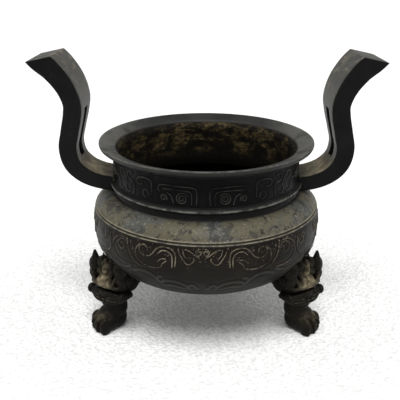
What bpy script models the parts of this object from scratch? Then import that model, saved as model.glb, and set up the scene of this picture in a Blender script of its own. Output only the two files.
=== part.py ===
"""Bronze tripod incense burner: a cast bowl with a relief band on its neck and one on its belly,
two upright strap handles with a slot, and three legs in the form of a lion mask over a paw.

Metres, +Z up, -Y is the front. The origin is on the floor, under the middle of the whole
object's box: the back leg stands out behind, so the bowl's axis is a little in front of it.
The bowl, each handle and each leg is a casting of its own, seated against the bowl.
"""
import math

import bmesh
import bpy
from mathutils import Matrix, Vector

# Driving dimensions of the bowl, from the floor upwards
BOWL_FLOOR_Z = 0.0282
BELLY_DEPTH = 0.0430
BELLY_RADIUS = 0.0810
BELLY_EXPONENT = 2.41
SHOULDER_HEIGHT = 0.0235
SHOULDER_CENTRE_RADIUS = 0.0614
SHOULDER_TOP_RADIUS = 0.0672
COVE_HEIGHT = 0.0050
RIDGE_HEIGHT = 0.0030
RIDGE_PROUD = 0.0028
NECK_RADIUS = 0.0653
NECK_HEIGHT = 0.0195
LIP_RISE = 0.0080
LIP_RADIUS = 0.0750
LIP_FACE_HEIGHT = 0.0042
LIP_FACE_INSET = 0.0022
LIP_DISH = 0.0037
LIP_EDGE = 0.0005
MOUTH_RADIUS = 0.0637
WALL = 0.0038
BOWL_FLOOR_THICKNESS = 0.0050
BEAD_DROP = 0.0098
BEAD_WIDTH = 0.0016
BEAD_PROUD = 0.0007
BOWL_SIDES = 44

# Relief strokes that stand out of the bowl's skin
RELIEF_PROUD = 0.0008
RELIEF_SUNK = 0.0012
LONGEST_SPAN = 0.0085
BELLY_STROKE_WIDTH = 0.0020
NECK_STROKE_WIDTH = 0.0019
BELLY_PANELS = 3
NECK_PANELS = 2

# Handles: heights are rises above the root, which is seated where the neck meets its ridge
HANDLE_REACH = 0.1164
HANDLE_STEM_RADIUS = 0.0949
HANDLE_WAIST_RADIUS = 0.0888
HANDLE_RISE = 0.0877
HANDLE_ROOT_DROP = 0.0017
HANDLE_ROOT_THICKNESS = 0.0102
HANDLE_STEM_THICKNESS = 0.0122
HANDLE_TOP_THICKNESS = 0.0150
HANDLE_TOP_LENGTH = 0.0165
HANDLE_ROOT_WIDTH = 0.0286
HANDLE_TOP_WIDTH = 0.0410
HANDLE_TIP_DROP = 0.0036
SLOT_WIDTH = 0.0096
SLOT_BOTTOM_RISE = 0.0140
SLOT_TOP_RISE = 0.0515
SEAT_CLEARANCE = 0.0003

# Legs: the figure is a free form, drawn this many units high and scaled to the height it has to reach
LEG_DRAWN_UNITS = 62
LEG_LAP = 0.0308
ANKLE_INSET = 0.0035
PAW_REACH = 0.0144
# Where each leg stands round the bowl, and how far its face turns from there towards the front
LEG_PLACES = {"leg_front_left": (210.0, 26.0), "leg_front_right": (330.0, -26.0), "leg_back": (90.0, 0.0)}
LEG_VOXEL = 0.0010
LEG_TRIANGLE_SHARE = 0.048
SOLE_CUT = 0.0006
LIP_SQUARENESS = 0.56

BRONZE = {"dark": (0.045, 0.043, 0.040), "worn": (0.115, 0.105, 0.085), "leg": (0.075, 0.064, 0.048)}
FINE = 1e-6

# What follows from the driving dimensions
BELLY_Z = BOWL_FLOOR_Z + BELLY_DEPTH
LEG_HEIGHT = BOWL_FLOOR_Z + LEG_LAP
ANKLE_RING_RADIUS = BELLY_RADIUS - ANKLE_INSET
BOWL_AXIS_Y = (BELLY_RADIUS + RELIEF_PROUD - ANKLE_RING_RADIUS - PAW_REACH) / 2


def clear_scene():
    for old in list(bpy.data.objects):
        bpy.data.objects.remove(old)


def bronze(name, colour, roughness):
    material = bpy.data.materials.new(name)
    material.use_nodes = True
    shader = material.node_tree.nodes["Principled BSDF"]
    shader.inputs["Base Color"].default_value = (*colour, 1.0)
    shader.inputs["Roughness"].default_value = roughness
    shader.inputs["Metallic"].default_value = 0.75
    return material


def mesh_object(name, bm, material=None, smooth_angle=None):
    mesh = bpy.data.meshes.new(name)
    bm.to_mesh(mesh)
    bm.free()
    obj = bpy.data.objects.new(name, mesh)
    bpy.context.scene.collection.objects.link(obj)
    if material:
        mesh.materials.append(material)
    if smooth_angle:
        mesh.shade_smooth()
        mesh.set_sharp_from_angle(angle=math.radians(smooth_angle))
    return obj


def as_cutter(obj):
    obj.hide_render = True
    obj.display_type = "WIRE"
    return obj


def add_boolean(obj, tool, operation, crossing=False):
    """crossing is for a tool whose own bodies run through one another."""
    modifier = obj.modifiers.new(operation.lower(), "BOOLEAN")
    modifier.operation = operation
    modifier.solver = "EXACT"
    modifier.use_self = crossing
    modifier.object = tool


# The bowl's outline

def shoulder_angle(radius):
    """The superellipse parameter at which the shoulder has this radius."""
    share = (radius - SHOULDER_CENTRE_RADIUS) / (BELLY_RADIUS - SHOULDER_CENTRE_RADIUS)
    return math.acos(share ** (BELLY_EXPONENT / 2))


def shoulder_point(angle, wall=0.0):
    power = 2 / BELLY_EXPONENT
    reach = BELLY_RADIUS - wall - SHOULDER_CENTRE_RADIUS
    rise = SHOULDER_HEIGHT - wall
    radius = SHOULDER_CENTRE_RADIUS + reach * math.cos(angle) ** power
    return radius, BELLY_Z + rise * math.sin(angle) ** power


def belly_point(angle, wall=0.0, floor=0.0):
    power = 2 / BELLY_EXPONENT
    radius = (BELLY_RADIUS - wall) * max(0.0, math.cos(angle)) ** power
    return radius, BELLY_Z - (BELLY_DEPTH - floor) * math.sin(angle) ** power


def skin_radius(z):
    """Radius of the belly or shoulder at a height."""
    if z > BELLY_Z:
        drop = ((z - BELLY_Z) / SHOULDER_HEIGHT) ** BELLY_EXPONENT
        reach = BELLY_RADIUS - SHOULDER_CENTRE_RADIUS
        return SHOULDER_CENTRE_RADIUS + reach * (1 - drop) ** (1 / BELLY_EXPONENT)
    drop = ((BELLY_Z - z) / BELLY_DEPTH) ** BELLY_EXPONENT
    return BELLY_RADIUS * (1 - drop) ** (1 / BELLY_EXPONENT)


SHOULDER_TOP_Z = shoulder_point(shoulder_angle(SHOULDER_TOP_RADIUS))[1]
RIDGE_Z = SHOULDER_TOP_Z + COVE_HEIGHT
NECK_Z = RIDGE_Z + RIDGE_HEIGHT
LIP_Z = NECK_Z + NECK_HEIGHT + LIP_RISE
BEAD_Z = SHOULDER_TOP_Z - BEAD_DROP
HANDLE_ROOT_Z = NECK_Z - HANDLE_ROOT_DROP
HANDLE_TOP_Z = HANDLE_ROOT_Z + HANDLE_RISE
SLOT_BOTTOM_Z = HANDLE_ROOT_Z + SLOT_BOTTOM_RISE
SLOT_TOP_Z = HANDLE_ROOT_Z + SLOT_TOP_RISE


def neck_and_lip_outline():
    """From the foot of the neck up to the mouth's inner edge."""
    return [
        (NECK_RADIUS + 0.2 * RIDGE_PROUD, SHOULDER_TOP_Z + 0.15 * COVE_HEIGHT),
        (NECK_RADIUS + 0.1 * RIDGE_PROUD, RIDGE_Z - 0.3 * COVE_HEIGHT),
        (NECK_RADIUS + 0.8 * RIDGE_PROUD, RIDGE_Z),
        (NECK_RADIUS + RIDGE_PROUD, RIDGE_Z + 0.5 * RIDGE_HEIGHT),
        (NECK_RADIUS + 0.5 * RIDGE_PROUD, NECK_Z),
        (NECK_RADIUS, NECK_Z + 0.2 * RIDGE_HEIGHT),
        (NECK_RADIUS, NECK_Z + NECK_HEIGHT),
        (NECK_RADIUS + 0.2 * (LIP_RADIUS - NECK_RADIUS), LIP_Z - 0.72 * LIP_RISE),
        (LIP_RADIUS - LIP_FACE_INSET, LIP_Z - LIP_FACE_HEIGHT),
        (LIP_RADIUS, LIP_Z - LIP_EDGE),
        (LIP_RADIUS - LIP_EDGE, LIP_Z),
    ]


def outer_outline(belly_steps=7, shoulder_steps=3):
    """From the middle of the underside, up the outer skin, to the lip's edge."""
    right = math.pi / 2
    points = [belly_point(right * (1 - i / belly_steps)) for i in range(belly_steps)]
    top = shoulder_angle(SHOULDER_TOP_RADIUS)
    shoulder = [shoulder_point(top * i / shoulder_steps) for i in range(shoulder_steps + 1)]
    bead = [
        (skin_radius(BEAD_Z - BEAD_WIDTH / 2), BEAD_Z - BEAD_WIDTH / 2),
        (skin_radius(BEAD_Z) + BEAD_PROUD, BEAD_Z - BEAD_WIDTH / 5),
        (skin_radius(BEAD_Z) + BEAD_PROUD, BEAD_Z + BEAD_WIDTH / 5),
        (skin_radius(BEAD_Z + BEAD_WIDTH / 2), BEAD_Z + BEAD_WIDTH / 2),
    ]
    near_bead = [p for p in shoulder if abs(p[1] - BEAD_Z) > BEAD_WIDTH]
    points += sorted(near_bead + bead, key=lambda p: p[1])
    return points + neck_and_lip_outline()


def inner_outline(steps=4):
    """From the mouth's inner edge, down the inner skin, to the middle of the floor."""
    right = math.pi / 2
    throat = NECK_RADIUS - WALL
    points = [
        (MOUTH_RADIUS, LIP_Z - LIP_DISH),
        (throat, LIP_Z - LIP_DISH - WALL),
    ]
    inner_top = shoulder_point(right, WALL)[1]
    points.append((throat, inner_top + WALL / 2))
    points += [shoulder_point(right * (1 - i / 3) , WALL) for i in (1, 2)]
    points += [belly_point(right * i / steps, WALL, BOWL_FLOOR_THICKNESS) for i in range(steps + 1)]
    return points


def spin_solid(outline, sides):
    """Turns an outline whose two ends lie on the axis into a closed solid."""
    bm = bmesh.new()
    verts = [bm.verts.new((radius, 0, z)) for radius, z in outline]
    edges = [bm.edges.new(pair) for pair in zip(verts, verts[1:])]
    bmesh.ops.spin(bm, geom=verts + edges, cent=(0, 0, 0), axis=(0, 0, 1),
                   angle=2 * math.pi, steps=sides, use_merge=True)
    bmesh.ops.remove_doubles(bm, verts=bm.verts, dist=FINE)
    bmesh.ops.dissolve_degenerate(bm, edges=bm.edges, dist=FINE)
    bmesh.ops.recalc_face_normals(bm, faces=bm.faces)
    return bm


def seat_cutter(name):
    """The bowl's outer form, grown by the clearance, which trims a leg or a handle to its seat."""
    grown = []
    outline = outer_outline()
    for i, (radius, z) in enumerate(outline):
        before = outline[max(i - 1, 0)]
        after = outline[min(i + 1, len(outline) - 1)]
        along = Vector((after[0] - before[0], after[1] - before[1])).normalized()
        grown.append((max(0.0, radius + along.y * SEAT_CLEARANCE), z - along.x * SEAT_CLEARANCE))
    grown[0] = (0.0, grown[0][1])
    grown.append((0.0, grown[-1][1]))
    return as_cutter(mesh_object(name, spin_solid(grown, BOWL_SIDES)))


# Relief drawn on a flat sheet (across, down) in metres, then laid on the bowl

def spiral(centre, start_radius, end_radius, start, turns, steps=12):
    """A scroll that winds from its outer end in to its eye. Angles are in degrees."""
    points = []
    for i in range(steps + 1):
        share = i / steps
        angle = math.radians(start + 360 * turns * share)
        radius = start_radius + (end_radius - start_radius) * share
        points.append((centre[0] + radius * math.cos(angle), centre[1] + radius * math.sin(angle)))
    return points


def arch(centre, width, height, start, end, steps=8):
    """Part of an ellipse, from one angle to another in degrees; 90 is its lowest point."""
    points = []
    for i in range(steps + 1):
        angle = math.radians(start + (end - start) * i / steps)
        points.append((centre[0] + width * math.cos(angle), centre[1] + height * math.sin(angle)))
    return points


def mirrored(strokes):
    return strokes + [[(-across, down) for across, down in stroke] for stroke in strokes]


def belly_strokes():
    """One panel of the belly: hooks beside the nose, brow arches that end in a curl, lying scrolls."""
    hook = [(0.0145, 0.0020), (0.0130, 0.0075), (0.0090, 0.0110), (0.0058, 0.0085)]
    brow = ([(0.0184, 0.0125), (0.0184, 0.0062), (0.0210, 0.0030), (0.0255, 0.0026), (0.0292, 0.0048)]
            + arch((0.0340, 0.0052), 0.0036, 0.0038, 130, -100, 5))
    cheek = arch((0.0350, 0.0085), 0.0084, 0.0092, -35, 120, 4)
    loop = arch((0.0445, 0.0110), 0.0085, 0.0100, -60, 90, 4)
    scroll = [(0.0050, 0.0335), (0.0100, 0.0300)] + arch((0.0165, 0.0325), 0.0042, 0.0034, 210, 400, 4)
    return mirrored([hook, brow, cheek, loop, scroll])


def neck_strokes():
    """One half of the neck: a square frame round a scroll, a hook, and a curling dragon form."""
    frame = [(0.0036, 0.0165), (0.0036, 0.0075), (0.0056, 0.0055), (0.0225, 0.0050), (0.0250, 0.0080)]
    scroll = spiral((0.0125, 0.0120), 0.0045, 0.0016, 150, 1.1, 7)
    hook = [(0.0330, 0.0140), (0.0330, 0.0050), (0.0420, 0.0040), (0.0440, 0.0075)]
    dragon = [(0.0490, 0.0150), (0.0505, 0.0090)] + arch((0.0540, 0.0062), 0.0038, 0.0036, 170, 380, 3)
    return mirrored([frame, scroll, hook, dragon])


def divided(stroke):
    """The stroke with its long spans cut, so that they follow the round of the bowl."""
    points = [stroke[0]]
    for start, end in zip(stroke, stroke[1:]):
        parts = math.ceil(math.dist(start, end) / LONGEST_SPAN)
        points += [(start[0] + (end[0] - start[0]) * i / parts, start[1] + (end[1] - start[1]) * i / parts)
                   for i in range(1, parts + 1)]
    return points


def on_belly(across, down, middle):
    z = BEAD_Z - BEAD_WIDTH - down
    angle = middle + across / BELLY_RADIUS
    radius = skin_radius(z)
    slope = (skin_radius(z - RELIEF_PROUD) - radius) / RELIEF_PROUD
    return radius, angle, z, slope


def on_neck(across, down, middle):
    return NECK_RADIUS, middle + across / NECK_RADIUS, NECK_Z + NECK_HEIGHT - down, 0.0


def stroke_ribbon(bm, stroke, lay, middle, width):
    """Sweeps a flat bar along a stroke: its back is sunk in the wall and its face stands proud."""
    placed = []
    for across, down in divided(stroke):
        radius, angle, z, slope = lay(across, down, middle)
        radial = Vector((math.cos(angle), math.sin(angle), 0))
        placed.append((radial * radius + Vector((0, 0, z)), (radial + Vector((0, 0, slope))).normalized()))
    loops = []
    for i, (point, normal) in enumerate(placed):
        along = placed[min(i + 1, len(placed) - 1)][0] - placed[max(i - 1, 0)][0]
        aside = normal.cross(along).normalized() * width / 2
        corners = (point - aside - normal * RELIEF_SUNK, point + aside - normal * RELIEF_SUNK,
                   point + aside * 0.8 + normal * RELIEF_PROUD, point - aside * 0.8 + normal * RELIEF_PROUD)
        verts = [bm.verts.new(corner) for corner in corners]
        loops.append([bm.edges.new((verts[k], verts[(k + 1) % 4])) for k in range(4)])
    for first, second in zip(loops, loops[1:]):
        bmesh.ops.bridge_loops(bm, edges=first + second)
    for end in (loops[0], loops[-1]):
        bmesh.ops.edgenet_fill(bm, edges=end)


def relief_object():
    bm = bmesh.new()
    front = -math.pi / 2
    for panel in range(BELLY_PANELS):
        middle = front + panel * 2 * math.pi / BELLY_PANELS
        for stroke in belly_strokes():
            stroke_ribbon(bm, stroke, on_belly, middle, BELLY_STROKE_WIDTH)
    for panel in range(NECK_PANELS):
        middle = front + panel * 2 * math.pi / NECK_PANELS
        for stroke in neck_strokes():
            stroke_ribbon(bm, stroke, on_neck, middle, NECK_STROKE_WIDTH)
    bmesh.ops.recalc_face_normals(bm, faces=bm.faces)
    return as_cutter(mesh_object("relief_strokes", bm))


def build_bowl(material):
    bm = spin_solid(outer_outline() + inner_outline(), BOWL_SIDES)
    bowl = mesh_object("bowl", bm, material, smooth_angle=35)
    add_boolean(bowl, relief_object(), "UNION", crossing=True)
    return bowl


# Handles

def handle_centreline():
    """The S of the strap in its own upright plane: out from the neck, up, in, and out again."""
    stem, waist = HANDLE_STEM_RADIUS, HANDLE_WAIST_RADIUS
    elbow = stem - NECK_RADIUS
    path = [
        (NECK_RADIUS - WALL, -0.009),
        (NECK_RADIUS + 0.29 * elbow, 0.011),
        (NECK_RADIUS + 0.66 * elbow, 0.063),
        (stem - 0.08 * elbow, 0.154),
        (stem, 0.279),
        (stem - 0.36 * (stem - waist), 0.405),
        (waist + 0.16 * (stem - waist), 0.547),
        (waist + 0.05 * (stem - waist), 0.650),
        (waist + 0.145 * (HANDLE_REACH - waist), 0.775),
        (waist + 0.400 * (HANDLE_REACH - waist), 0.889),
        (HANDLE_REACH - HANDLE_TOP_LENGTH / 2, 0.977),
    ]
    return [Vector((out, HANDLE_ROOT_Z + share * HANDLE_RISE)) for out, share in path]


def sample_curve(points, steps_each=2):
    """A smooth curve through the points, by Catmull-Rom spans."""
    padded = [2 * points[0] - points[1]] + points + [2 * points[-1] - points[-2]]
    curve = []
    for a, b, c, d in zip(padded, padded[1:], padded[2:], padded[3:]):
        for i in range(steps_each):
            t = i / steps_each
            curve.append(0.5 * (2 * b + (c - a) * t + (2 * a - 5 * b + 4 * c - d) * t * t
                                + (3 * b - a - 3 * c + d) * t ** 3))
    return curve + [points[-1]]


def eased(share):
    share = min(1.0, max(0.0, share))
    return share * share * (3 - 2 * share)


def handle_width(z):
    rise = eased((z - SLOT_BOTTOM_Z) / (HANDLE_TOP_Z - SLOT_BOTTOM_Z))
    return HANDLE_ROOT_WIDTH + (HANDLE_TOP_WIDTH - HANDLE_ROOT_WIDTH) * rise


def handle_thickness(share):
    lower = HANDLE_ROOT_THICKNESS + (HANDLE_STEM_THICKNESS - HANDLE_ROOT_THICKNESS) * eased(share / 0.35)
    return lower + (HANDLE_TOP_THICKNESS - HANDLE_STEM_THICKNESS) * eased((share - 0.6) / 0.4)


def build_handle(name, side, material, neck_cutter):
    """side is 1 for the handle at +X and -1 for the one at -X."""
    line = sample_curve(handle_centreline())
    bm = bmesh.new()
    loops = []
    for i, point in enumerate(line):
        along = (line[min(i + 1, len(line) - 1)] - line[max(i - 1, 0)]).normalized()
        aside = Vector((along.y, -along.x)) * handle_thickness(i / (len(line) - 1)) / 2
        half = handle_width(point.y) / 2
        outer, inner = point + aside, point - aside
        if i == len(line) - 1:
            outer, inner = Vector((HANDLE_REACH, HANDLE_TOP_Z - HANDLE_TIP_DROP)), Vector(
                (HANDLE_REACH - HANDLE_TOP_LENGTH, HANDLE_TOP_Z))
        corners = [(outer.x, -half, outer.y), (outer.x, half, outer.y),
                   (inner.x, half, inner.y), (inner.x, -half, inner.y)]
        verts = [bm.verts.new(corner) for corner in corners]
        loops.append([bm.edges.new((verts[k], verts[(k + 1) % 4])) for k in range(4)])
    for first, second in zip(loops, loops[1:]):
        bmesh.ops.bridge_loops(bm, edges=first + second)
    for end in (loops[0], loops[-1]):
        bmesh.ops.edgenet_fill(bm, edges=end)
    bmesh.ops.rotate(bm, verts=bm.verts, matrix=Matrix.Rotation(math.pi if side < 0 else 0, 3, "Z"))
    bmesh.ops.recalc_face_normals(bm, faces=bm.faces)
    handle = mesh_object(name, bm, material)
    add_boolean(handle, slot_cutter(name, side), "DIFFERENCE")
    add_boolean(handle, neck_cutter, "DIFFERENCE")
    return handle


def slot_cutter(name, side):
    """A block that pierces the strap straight through, from its inner to its outer face."""
    depth = HANDLE_REACH - LIP_RADIUS
    height = SLOT_TOP_Z - SLOT_BOTTOM_Z
    bm = bmesh.new()
    bmesh.ops.create_cube(bm, size=1.0)
    bmesh.ops.scale(bm, verts=bm.verts, vec=(depth, SLOT_WIDTH, height))
    middle = side * (LIP_RADIUS + depth / 2)
    bmesh.ops.translate(bm, verts=bm.verts, vec=(middle, 0, SLOT_BOTTOM_Z + height / 2))
    return as_cutter(mesh_object(name + "_slot", bm))


# Legs, drawn in units of the figure: forwards from the ankle, aside, and up from the floor

def blob(bm, centre, radii, turn=0.0, tilt=0.0, lean=0.0):
    """An egg of given half sizes: turned about Z, tilted about its side axis, leant about its front axis."""
    made = bmesh.ops.create_icosphere(bm, subdivisions=2, radius=1.0)
    place = (Matrix.Translation(centre) @ Matrix.Rotation(math.radians(turn), 4, "Z")
             @ Matrix.Rotation(math.radians(tilt), 4, "Y") @ Matrix.Rotation(math.radians(lean), 4, "X")
             @ Matrix.Diagonal((*radii, 1.0)))
    bmesh.ops.transform(bm, matrix=place, verts=made["verts"])


def horn(bm, base, tip, thick):
    """A cone from base to tip."""
    base, tip = Vector(base), Vector(tip)
    along = tip - base
    made = bmesh.ops.create_cone(bm, cap_ends=True, segments=10, radius1=thick, radius2=thick * 0.25,
                                 depth=along.length)
    turn = along.to_track_quat("Z", "Y").to_matrix().to_4x4()
    bmesh.ops.transform(bm, matrix=Matrix.Translation((base + tip) / 2) @ turn, verts=made["verts"])


def ridge(bm, points, thick):
    """A raised line through some points."""
    for start, end in zip(points, points[1:]):
        for i in range(4):
            blob(bm, Vector(start).lerp(Vector(end), i / 3), (thick, thick, thick))


def lip(bm, front, half_width, front_z, corner_z, thick):
    """A squarish lip, from one corner over the front to the other; it climbs towards the corners."""
    for i in range(-8, 9):
        angle = math.radians(i * 11.25)
        out, aside = max(0.0, math.cos(angle)) ** LIP_SQUARENESS, abs(math.sin(angle)) ** LIP_SQUARENESS
        climb = (corner_z - front_z) * aside ** 3
        place = (out * (front - thick + 5.0) - 5.0, math.copysign(aside, i) * (half_width - thick), front_z + climb)
        blob(bm, place, (thick, thick, thick))


def block(bm, corners):
    """The hull of some corners and their mirror images."""
    made = [bm.verts.new((out, side * aside, up)) for out, aside, up in corners
            for side in ((1, -1) if aside else (1,))]
    hull = bmesh.ops.convex_hull(bm, input=made)
    bmesh.ops.delete(bm, geom=hull["geom_interior"], context="VERTS")


def draw_paw(bm):
    """Heel, foot and instep, four toes, and the shin."""
    blob(bm, (-3.4, 0, 9.0), (8.4, 8.6, 9.6))
    blob(bm, (3.6, 0, 7.8), (9.6, 9.8, 9.2))
    blob(bm, (1.2, 0, 12.4), (9.6, 8.8, 7.4), tilt=14)
    for aside, out in ((-7.4, 7.8), (-2.6, 9.9), (2.6, 9.9), (7.4, 7.8)):
        blob(bm, (out, aside, 6.2), (5.2, 3.2, 7.2), turn=aside * 3)
    blob(bm, (-3.6, 0, 18.0), (9.0, 9.2, 12.0))


def draw_jaw(bm):
    """Throat and chin, the broad lower lip with its upturned corners, and the tongue."""
    blob(bm, (-3.6, 0, 22.6), (9.6, 10.2, 6.4))
    blob(bm, (-4.6, 0, 26.6), (10.6, 12.4, 6.2))
    blob(bm, (-4.0, 0, 30.6), (10.8, 15.0, 6.0))
    for up, front, half_width, climb in ((25.8, 8.4, 15.4, 2.6), (28.0, 8.9, 17.0, 1.6), (30.2, 8.5, 17.2, 0.0),
                                         (32.4, 7.6, 16.2, -2.0)):
        lip(bm, front, half_width, up, up + climb, 2.1)
    blob(bm, (4.4, 0, 32.2), (4.6, 5.2, 2.7))
    for aside in (-1, 1):
        blob(bm, (3.6, aside * 14.6, 30.8), (4.0, 2.8, 3.8), lean=-aside * 14)


def draw_muzzle(bm):
    """The upper lip, the flat snout, the cheeks, and a ridged wing beside each nostril."""
    blob(bm, (-4.6, 0, 41.0), (9.4, 12.6, 4.6))
    lip(bm, 7.2, 13.6, 38.6, 35.6, 1.9)
    block(bm, [(7.6, 7.0, 37.6), (8.7, 3.0, 37.9), (8.0, 7.6, 40.2), (8.9, 3.4, 40.4), (6.2, 4.4, 45.6),
               (6.4, 0, 46.6), (-2.0, 9.0, 38.0), (-2.0, 5.0, 46.4)])
    for aside in (-1, 1):
        blob(bm, (1.0, aside * 12.6, 44.0), (4.6, 4.4, 6.0))
        blob(bm, (-6.0, aside * 11.2, 41.6), (6.0, 3.6, 5.2))
        ridge(bm, [(7.0, aside * 7.6, 39.0), (4.6, aside * 12.0, 48.2), (1.0, aside * 15.4, 39.4)], 1.4)


def draw_brow(bm):
    """The forehead, the bridge of the nose, and the brows, which end in an upright point."""
    blob(bm, (-6.0, 0, 49.6), (9.2, 11.2, 10.6))
    blob(bm, (3.0, 0, 50.6), (3.4, 2.7, 8.6), tilt=-3)
    for aside in (-1, 1):
        blob(bm, (1.2, aside * 12.0, 51.0), (4.4, 5.0, 7.0), lean=aside * 8)
        horn(bm, (1.8, aside * 11.2, 52.0), (2.0, aside * 11.0, 62.6), 4.3)
        blob(bm, (2.0, aside * 5.0, 54.4), (3.2, 2.5, 5.0))
        blob(bm, (-2.2, aside * 3.6, 59.0), (3.4, 2.6, 3.2))


def draw_mane(bm):
    """The bracket behind the mask, which carries the underside of the bowl."""
    blob(bm, (-14.0, 0, 35.4), (14.0, 10.8, 8.2), tilt=-6)
    for aside in (-1, 1):
        blob(bm, (-12.0, aside * 8.6, 34.2), (9.0, 4.6, 6.6), turn=-aside * 8)
        blob(bm, (-19.5, aside * 6.8, 34.0), (7.6, 4.0, 5.4), turn=-aside * 8)


def leg_mesh(name, turn, material):
    """The figure, whose face is to be turned by this angle: its paw keeps to the outward way."""
    bm = bmesh.new()
    draw_paw(bm)
    bmesh.ops.rotate(bm, verts=bm.verts, matrix=Matrix.Rotation(-turn, 3, "Z"))
    for draw in (draw_jaw, draw_muzzle, draw_brow, draw_mane):
        draw(bm)
    size = LEG_HEIGHT / LEG_DRAWN_UNITS
    bmesh.ops.scale(bm, verts=bm.verts, vec=(size, size, size))
    mesh = bpy.data.meshes.new(name)
    bm.to_mesh(mesh)
    bm.free()
    mesh.materials.append(material)
    return mesh


def floor_cutter():
    """A block under the floor, which gives the paws their flat soles."""
    bm = bmesh.new()
    bmesh.ops.create_cube(bm, size=1.0)
    bmesh.ops.scale(bm, verts=bm.verts, vec=(3 * BELLY_RADIUS, 3 * BELLY_RADIUS, BOWL_FLOOR_Z))
    bmesh.ops.translate(bm, verts=bm.verts, vec=(0, 0, -BOWL_FLOOR_Z / 2))
    return as_cutter(mesh_object("floor_block", bm))


def build_leg(name, place, material, seat, floor):
    round_bowl, turn = (math.radians(value) for value in place)
    leg = bpy.data.objects.new(name, leg_mesh(name, turn, material))
    bpy.context.scene.collection.objects.link(leg)
    leg.rotation_euler.z = round_bowl + turn
    leg.location = (ANKLE_RING_RADIUS * math.cos(round_bowl), ANKLE_RING_RADIUS * math.sin(round_bowl), -SOLE_CUT)
    remesh = leg.modifiers.new("fuse", "REMESH")
    remesh.mode = "VOXEL"
    remesh.voxel_size = LEG_VOXEL
    soften = leg.modifiers.new("soften", "SMOOTH")
    soften.factor = 0.5
    soften.iterations = 3
    thin = leg.modifiers.new("fewer_faces", "DECIMATE")
    thin.ratio = LEG_TRIANGLE_SHARE
    add_boolean(leg, seat, "DIFFERENCE")
    add_boolean(leg, floor, "DIFFERENCE")
    return leg


def main():
    """Everything is built round the bowl's own axis and hangs on one empty, which shifts it."""
    clear_scene()
    axis = bpy.data.objects.new("bowl_axis", None)
    bpy.context.scene.collection.objects.link(axis)
    axis.location.y = BOWL_AXIS_Y
    dark = bronze("bronze_dark", BRONZE["dark"], 0.45)
    worn = bronze("bronze_worn", BRONZE["worn"], 0.5)
    brown = bronze("bronze_brown", BRONZE["leg"], 0.5)
    build_bowl(worn)
    seat = seat_cutter("seat_form")
    for name, side in (("handle_left", -1), ("handle_right", 1)):
        build_handle(name, side, dark, seat)
    floor = floor_cutter()
    for name, place in LEG_PLACES.items():
        build_leg(name, place, brown, seat, floor)
    for obj in bpy.data.objects:
        if obj != axis:
            obj.parent = axis


main()
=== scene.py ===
# %% [markdown]
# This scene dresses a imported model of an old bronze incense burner: a round bowl on three legs, with two
# tall slotted handles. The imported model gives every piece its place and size. The scene builds finer
# pieces over it, because the relief bands, the lion masks and the patina are what the real object is
# looked at for.

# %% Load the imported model
import math

import bmesh
import bpy
import numpy as np
from mathutils import Matrix, Vector


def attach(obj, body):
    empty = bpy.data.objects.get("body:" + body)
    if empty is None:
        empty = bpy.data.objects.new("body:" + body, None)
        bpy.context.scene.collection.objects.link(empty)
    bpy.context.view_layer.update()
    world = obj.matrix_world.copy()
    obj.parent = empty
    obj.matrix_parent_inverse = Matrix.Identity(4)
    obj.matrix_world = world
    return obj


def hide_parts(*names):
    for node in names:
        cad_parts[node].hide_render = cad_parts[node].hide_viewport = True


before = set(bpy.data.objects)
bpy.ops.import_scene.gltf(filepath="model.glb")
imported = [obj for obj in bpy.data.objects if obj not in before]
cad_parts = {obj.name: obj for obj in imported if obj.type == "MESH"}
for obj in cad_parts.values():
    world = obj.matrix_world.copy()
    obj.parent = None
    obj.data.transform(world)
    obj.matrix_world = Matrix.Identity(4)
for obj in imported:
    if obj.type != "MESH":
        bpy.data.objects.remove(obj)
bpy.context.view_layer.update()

# %% [markdown]
# The photograph was taken from a little above the rim, looking down on the bowl by about 21 degrees.
# The camera stands close, so the near legs look larger than the far one would. Its place was found by
# laying the rim, the bead and the handles over the photograph.

# %% Camera
AXIS_Y = -0.00505


def add_object(name, data):
    made = bpy.data.objects.new(name, data)
    bpy.context.scene.collection.objects.link(made)
    return made


def make_camera(aside, distance, height, pitch, yaw, roll, lens):
    data = bpy.data.cameras.new("camera")
    data.lens = lens
    data.sensor_width = 36
    camera = add_object("camera", data)
    camera.matrix_world = (Matrix.Translation((aside, AXIS_Y - distance, height))
                           @ Matrix.Rotation(yaw, 4, "Z") @ Matrix.Rotation(math.pi / 2 - pitch, 4, "X")
                           @ Matrix.Rotation(-roll, 4, "Z"))
    bpy.context.scene.camera = camera
    return camera


camera = make_camera(aside=-0.0014, distance=0.4139, height=0.2453, pitch=0.3749, yaw=0.0072,
                     roll=-0.0018, lens=54.85)
print("camera at", [round(v, 3) for v in camera.matrix_world.translation])

# %% [markdown]
# Shader maths is easier to read as sums than as a tangle of nodes. The small class below wraps one
# socket, so that 1 - mask or height * 0.5 writes the Math node. Any other node comes from one method,
# which sets the node's own settings first and its sockets after them.

# %% Helpers for materials


class Value:
    """A socket that can be used in sums."""

    def __init__(self, finish, socket):
        self.finish = finish
        self.socket = socket

    def math(self, operation, first, second=0.0):
        return self.finish.add("Math", {"operation": operation}, {0: first, 1: second})

    def __add__(self, other):
        return self.math("ADD", self, other)

    def __sub__(self, other):
        return self.math("SUBTRACT", self, other)

    def __rsub__(self, other):
        return self.math("SUBTRACT", other, self)

    def __mul__(self, other):
        return self.math("MULTIPLY", self, other)

    __radd__ = __add__
    __rmul__ = __mul__

    def step(self, low, high):
        """0 below low, 1 above high, and a soft climb between them; low may be above high."""
        return self.finish.add("MapRange", {"interpolation_type": "SMOOTHSTEP"},
                               {"Value": self, "From Min": low, "From Max": high})


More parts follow.
